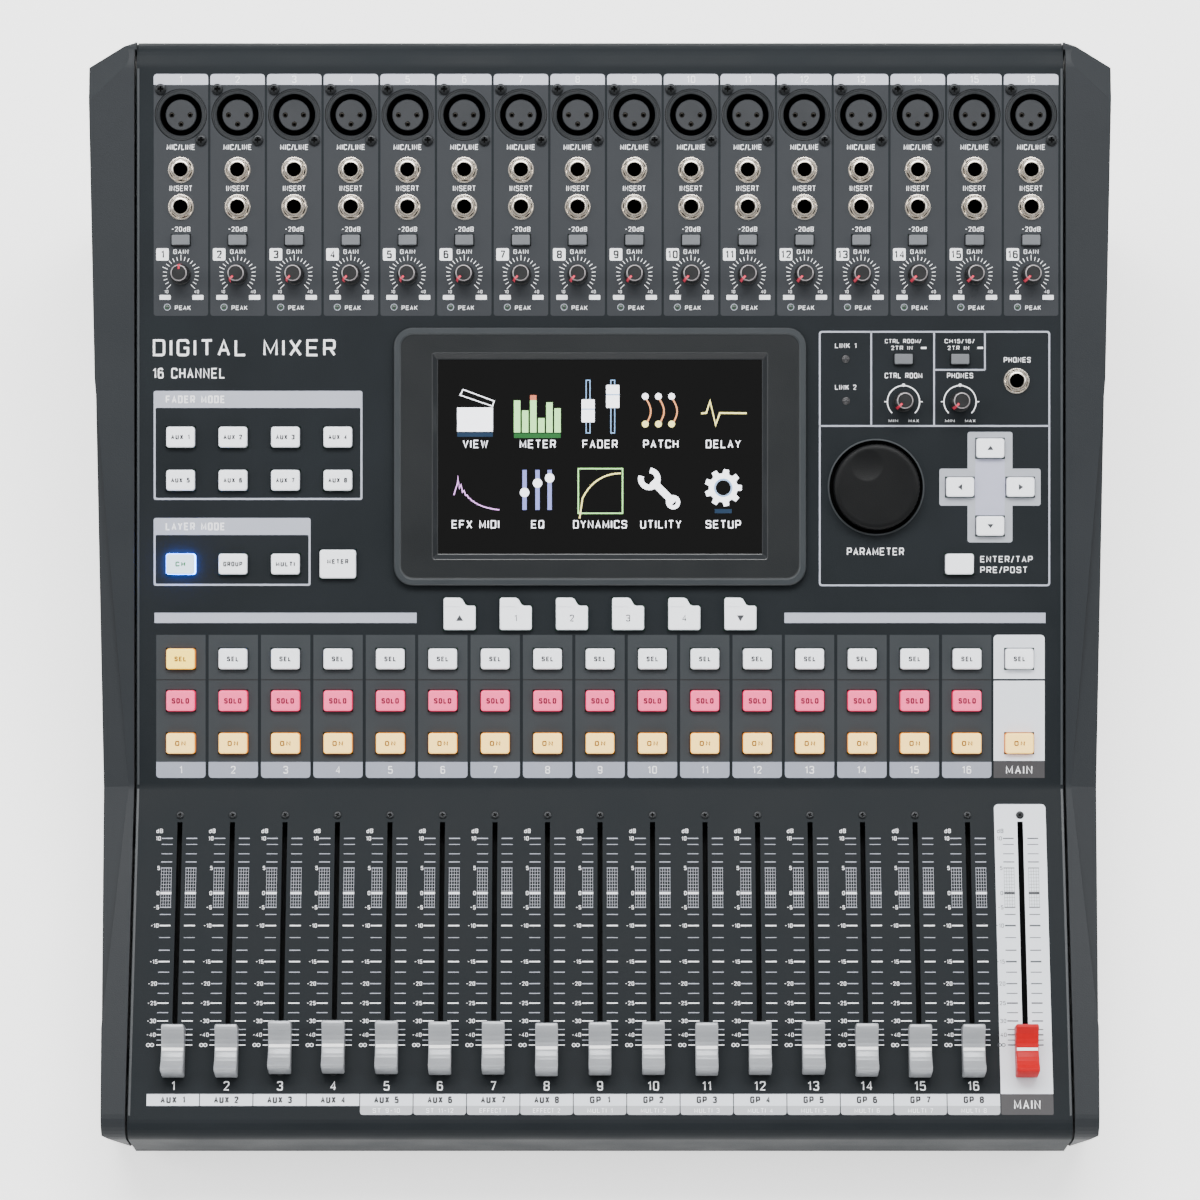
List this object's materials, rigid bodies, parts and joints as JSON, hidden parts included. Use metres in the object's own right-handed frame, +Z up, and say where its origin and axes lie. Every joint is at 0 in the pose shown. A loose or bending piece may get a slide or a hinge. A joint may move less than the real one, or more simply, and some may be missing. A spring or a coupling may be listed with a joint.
{
  "type": "mixing console",
  "caption": "Desktop digital mixing console with side cheeks, channel faders, a screen, button banks, gain knobs and microphone and jack inputs on a sloping deck.",
  "frame": {"origin": "bottom centre of the bounding box, on the table under the feet", "axes": "+X to the operator's right, +Y to the rear of the console, +Z up"},
  "size_m": [0.4814, 0.5014, 0.1756],
  "materials": {
    "panel_paint": "satin",
    "chassis_paint": "satin",
    "cheek_moulding": "textured satin",
    "bezel_moulding": "satin",
    "screen_glass": "gloss",
    "socket_plastic": "satin",
    "nut_plating": "polished",
    "fader_steel": "plain",
    "board_laminate": "gloss",
    "supply_case": "plain",
    "foot_rubber": "matt",
    "screw_black": "blackened",
    "main_cap": "satin",
    "fader_cap": "satin",
    "knob_plastic": "satin",
    "wheel_plastic": "satin",
    "button_white": "satin, translucent",
    "button_pink": "satin, lit from inside",
    "button_amber": "satin, lit from inside",
    "switch_grey": "satin"
  },
  "bodies": {
    "console": {"top_panel": "panel_paint", "bottom_chassis": "chassis_paint", "rear_panel": "chassis_paint", "left_cheek": "cheek_moulding", "right_cheek": "cheek_moulding", "display_bezel": "bezel_moulding", "display_panel": "screen_glass", "xlr_sockets": "socket_plastic", "jack_sockets": "nut_plating", "fader_tracks": "fader_steel", "circuit_boards": "board_laminate", "power_supply": "supply_case", "rubber_feet": "foot_rubber", "screws": "screw_black", "mains_inlet": "socket_plastic"},
    "fader_1": {"fader_1": "fader_cap"},
    "fader_2": {"fader_2": "fader_cap"},
    "fader_3": {"fader_3": "fader_cap"},
    "fader_4": {"fader_4": "fader_cap"},
    "fader_5": {"fader_5": "fader_cap"},
    "fader_6": {"fader_6": "fader_cap"},
    "fader_7": {"fader_7": "fader_cap"},
    "fader_8": {"fader_8": "fader_cap"},
    "fader_9": {"fader_9": "fader_cap"},
    "fader_10": {"fader_10": "fader_cap"},
    "fader_11": {"fader_11": "fader_cap"},
    "fader_12": {"fader_12": "fader_cap"},
    "fader_13": {"fader_13": "fader_cap"},
    "fader_14": {"fader_14": "fader_cap"},
    "fader_15": {"fader_15": "fader_cap"},
    "fader_16": {"fader_16": "fader_cap"},
    "main_fader": {"main_fader": "main_cap"},
    "gain_knob_1": {"gain_knob_1": "knob_plastic"},
    "gain_knob_2": {"gain_knob_2": "knob_plastic"},
    "gain_knob_3": {"gain_knob_3": "knob_plastic"},
    "gain_knob_4": {"gain_knob_4": "knob_plastic"},
    "gain_knob_5": {"gain_knob_5": "knob_plastic"},
    "gain_knob_6": {"gain_knob_6": "knob_plastic"},
    "gain_knob_7": {"gain_knob_7": "knob_plastic"},
    "gain_knob_8": {"gain_knob_8": "knob_plastic"},
    "gain_knob_9": {"gain_knob_9": "knob_plastic"},
    "gain_knob_10": {"gain_knob_10": "knob_plastic"},
    "gain_knob_11": {"gain_knob_11": "knob_plastic"},
    "gain_knob_12": {"gain_knob_12": "knob_plastic"},
    "gain_knob_13": {"gain_knob_13": "knob_plastic"},
    "gain_knob_14": {"gain_knob_14": "knob_plastic"},
    "gain_knob_15": {"gain_knob_15": "knob_plastic"},
    "gain_knob_16": {"gain_knob_16": "knob_plastic"},
    "control_room_knob": {"control_room_knob": "knob_plastic"},
    "phones_knob": {"phones_knob": "knob_plastic"},
    "parameter_wheel": {"parameter_wheel": "wheel_plastic"},
    "sel_buttons": {"sel_buttons": "button_white"},
    "solo_buttons": {"solo_buttons": "button_pink"},
    "on_buttons": {"on_buttons": "button_amber"},
    "mode_buttons": {"mode_buttons": "button_white"},
    "page_buttons": {"page_buttons": "button_white"},
    "cursor_buttons": {"cursor_buttons": "button_white"},
    "enter_button": {"enter_button": "button_white"},
    "push_switches": {"push_switches": "switch_grey"},
    "power_switch": {"power_switch": "socket_plastic"}
  },
  "joints": [
    {"name": "fader_1_slide", "type": "slide", "parent": "console", "child": "fader_1", "axis": [0, 0.9986, 0.0523], "range_m": [0, 0.1]},
    {"name": "fader_2_slide", "type": "slide", "parent": "console", "child": "fader_2", "axis": [0, 0.9986, 0.0523], "range_m": [0, 0.1]},
    {"name": "fader_3_slide", "type": "slide", "parent": "console", "child": "fader_3", "axis": [0, 0.9986, 0.0523], "range_m": [-0.0016, 0.0984]},
    {"name": "fader_4_slide", "type": "slide", "parent": "console", "child": "fader_4", "axis": [0, 0.9986, 0.0523], "range_m": [-0.0018, 0.0982]},
    {"name": "fader_5_slide", "type": "slide", "parent": "console", "child": "fader_5", "axis": [0, 0.9986, 0.0523], "range_m": [-0.0016, 0.0984]},
    {"name": "fader_6_slide", "type": "slide", "parent": "console", "child": "fader_6", "axis": [0, 0.9986, 0.0523], "range_m": [-0.0012, 0.0988]},
    {"name": "fader_7_slide", "type": "slide", "parent": "console", "child": "fader_7", "axis": [0, 0.9986, 0.0523], "range_m": [-0.0014, 0.0986]},
    {"name": "fader_8_slide", "type": "slide", "parent": "console", "child": "fader_8", "axis": [0, 0.9986, 0.0523], "range_m": [-0.0006, 0.0994]},
    {"name": "fader_9_slide", "type": "slide", "parent": "console", "child": "fader_9", "axis": [0, 0.9986, 0.0523], "range_m": [-0.001, 0.099]},
    {"name": "fader_10_slide", "type": "slide", "parent": "console", "child": "fader_10", "axis": [0, 0.9986, 0.0523], "range_m": [-0.0012, 0.0988]},
    {"name": "fader_11_slide", "type": "slide", "parent": "console", "child": "fader_11", "axis": [0, 0.9986, 0.0523], "range_m": [-0.0008, 0.0992]},
    {"name": "fader_12_slide", "type": "slide", "parent": "console", "child": "fader_12", "axis": [0, 0.9986, 0.0523], "range_m": [-0.0012, 0.0988]},
    {"name": "fader_13_slide", "type": "slide", "parent": "console", "child": "fader_13", "axis": [0, 0.9986, 0.0523], "range_m": [-0.0013, 0.0987]},
    {"name": "fader_14_slide", "type": "slide", "parent": "console", "child": "fader_14", "axis": [0, 0.9986, 0.0523], "range_m": [-0.0004, 0.0996]},
    {"name": "fader_15_slide", "type": "slide", "parent": "console", "child": "fader_15", "axis": [0, 0.9986, 0.0523], "range_m": [0, 0.1]},
    {"name": "fader_16_slide", "type": "slide", "parent": "console", "child": "fader_16", "axis": [0, 0.9986, 0.0523], "range_m": [0, 0.1]},
    {"name": "main_fader_slide", "type": "slide", "parent": "console", "child": "main_fader", "axis": [0, 0.9986, 0.0523], "range_m": [0, 0.1]},
    {"name": "gain_1_turn", "type": "hinge", "parent": "console", "child": "gain_knob_1", "pos_m": [-0.1972, 0.14267, 0.14115], "axis": [0, 0.3256, -0.9455], "range_deg": [-135, 135]},
    {"name": "gain_2_turn", "type": "hinge", "parent": "console", "child": "gain_knob_2", "pos_m": [-0.17053, 0.14267, 0.14115], "axis": [0, 0.3256, -0.9455], "range_deg": [0, 270]},
    {"name": "gain_3_turn", "type": "hinge", "parent": "console", "child": "gain_knob_3", "pos_m": [-0.14386, 0.14267, 0.14115], "axis": [0, 0.3256, -0.9455], "range_deg": [0, 270]},
    {"name": "gain_4_turn", "type": "hinge", "parent": "console", "child": "gain_knob_4", "pos_m": [-0.11719, 0.14267, 0.14115], "axis": [0, 0.3256, -0.9455], "range_deg": [0, 270]},
    {"name": "gain_5_turn", "type": "hinge", "parent": "console", "child": "gain_knob_5", "pos_m": [-0.09052, 0.14267, 0.14115], "axis": [0, 0.3256, -0.9455], "range_deg": [0, 270]},
    {"name": "gain_6_turn", "type": "hinge", "parent": "console", "child": "gain_knob_6", "pos_m": [-0.06385, 0.14267, 0.14115], "axis": [0, 0.3256, -0.9455], "range_deg": [0, 270]},
    {"name": "gain_7_turn", "type": "hinge", "parent": "console", "child": "gain_knob_7", "pos_m": [-0.03718, 0.14267, 0.14115], "axis": [0, 0.3256, -0.9455], "range_deg": [0, 270]},
    {"name": "gain_8_turn", "type": "hinge", "parent": "console", "child": "gain_knob_8", "pos_m": [-0.01051, 0.14267, 0.14115], "axis": [0, 0.3256, -0.9455], "range_deg": [0, 270]},
    {"name": "gain_9_turn", "type": "hinge", "parent": "console", "child": "gain_knob_9", "pos_m": [0.01616, 0.14267, 0.14115], "axis": [0, 0.3256, -0.9455], "range_deg": [0, 270]},
    {"name": "gain_10_turn", "type": "hinge", "parent": "console", "child": "gain_knob_10", "pos_m": [0.04283, 0.14267, 0.14115], "axis": [0, 0.3256, -0.9455], "range_deg": [0, 270]},
    {"name": "gain_11_turn", "type": "hinge", "parent": "console", "child": "gain_knob_11", "pos_m": [0.0695, 0.14267, 0.14115], "axis": [0, 0.3256, -0.9455], "range_deg": [0, 270]},
    {"name": "gain_12_turn", "type": "hinge", "parent": "console", "child": "gain_knob_12", "pos_m": [0.09617, 0.14267, 0.14115], "axis": [0, 0.3256, -0.9455], "range_deg": [0, 270]},
    {"name": "gain_13_turn", "type": "hinge", "parent": "console", "child": "gain_knob_13", "pos_m": [0.12284, 0.14267, 0.14115], "axis": [0, 0.3256, -0.9455], "range_deg": [0, 270]},
    {"name": "gain_14_turn", "type": "hinge", "parent": "console", "child": "gain_knob_14", "pos_m": [0.14951, 0.14267, 0.14115], "axis": [0, 0.3256, -0.9455], "range_deg": [0, 270]},
    {"name": "gain_15_turn", "type": "hinge", "parent": "console", "child": "gain_knob_15", "pos_m": [0.17618, 0.14267, 0.14115], "axis": [0, 0.3256, -0.9455], "range_deg": [0, 270]},
    {"name": "gain_16_turn", "type": "hinge", "parent": "console", "child": "gain_knob_16", "pos_m": [0.20285, 0.14267, 0.14115], "axis": [0, 0.3256, -0.9455], "range_deg": [0, 270]},
    {"name": "control_room_knob_turn", "type": "hinge", "parent": "console", "child": "control_room_knob", "pos_m": [0.1428, 0.08613, 0.12168], "axis": [0, 0.3256, -0.9455], "range_deg": [0, 270]},
    {"name": "phones_knob_turn", "type": "hinge", "parent": "console", "child": "phones_knob", "pos_m": [0.1694, 0.08613, 0.12168], "axis": [0, 0.3256, -0.9455], "range_deg": [0, 270]},
    {"name": "wheel_turn", "type": "hinge", "parent": "console", "child": "parameter_wheel", "pos_m": [0.1299, 0.04812, 0.10859], "axis": [0, 0.3256, -0.9455], "continuous": true},
    {"name": "sel_buttons_press", "type": "slide", "parent": "console", "child": "sel_buttons", "axis": [0, 0.3256, -0.9455], "range_m": [0, 0.0015], "stiffness_N_per_m": 400, "springref_m": -0.002},
    {"name": "solo_buttons_press", "type": "slide", "parent": "console", "child": "solo_buttons", "axis": [0, 0.3256, -0.9455], "range_m": [0, 0.0015], "stiffness_N_per_m": 400, "springref_m": -0.002},
    {"name": "on_buttons_press", "type": "slide", "parent": "console", "child": "on_buttons", "axis": [0, 0.3256, -0.9455], "range_m": [0, 0.0015], "stiffness_N_per_m": 400, "springref_m": -0.002},
    {"name": "mode_buttons_press", "type": "slide", "parent": "console", "child": "mode_buttons", "axis": [0, 0.3256, -0.9455], "range_m": [0, 0.0015], "stiffness_N_per_m": 400, "springref_m": -0.002},
    {"name": "page_buttons_press", "type": "slide", "parent": "console", "child": "page_buttons", "axis": [0, 0.3256, -0.9455], "range_m": [0, 0.0015], "stiffness_N_per_m": 400, "springref_m": -0.002},
    {"name": "cursor_buttons_press", "type": "slide", "parent": "console", "child": "cursor_buttons", "axis": [0, 0.3256, -0.9455], "range_m": [0, 0.0015], "stiffness_N_per_m": 400, "springref_m": -0.002},
    {"name": "enter_button_press", "type": "slide", "parent": "console", "child": "enter_button", "axis": [0, 0.3256, -0.9455], "range_m": [0, 0.0015], "stiffness_N_per_m": 400, "springref_m": -0.002},
    {"name": "push_switches_press", "type": "slide", "parent": "console", "child": "push_switches", "axis": [0, 0.3256, -0.9455], "range_m": [0, 0.0015]},
    {"name": "power_rocker", "type": "hinge", "parent": "console", "child": "power_switch", "pos_m": [0.178, 0.24197, 0.088], "axis": [1, 0, 0], "range_deg": [0, 16]}
  ]
}
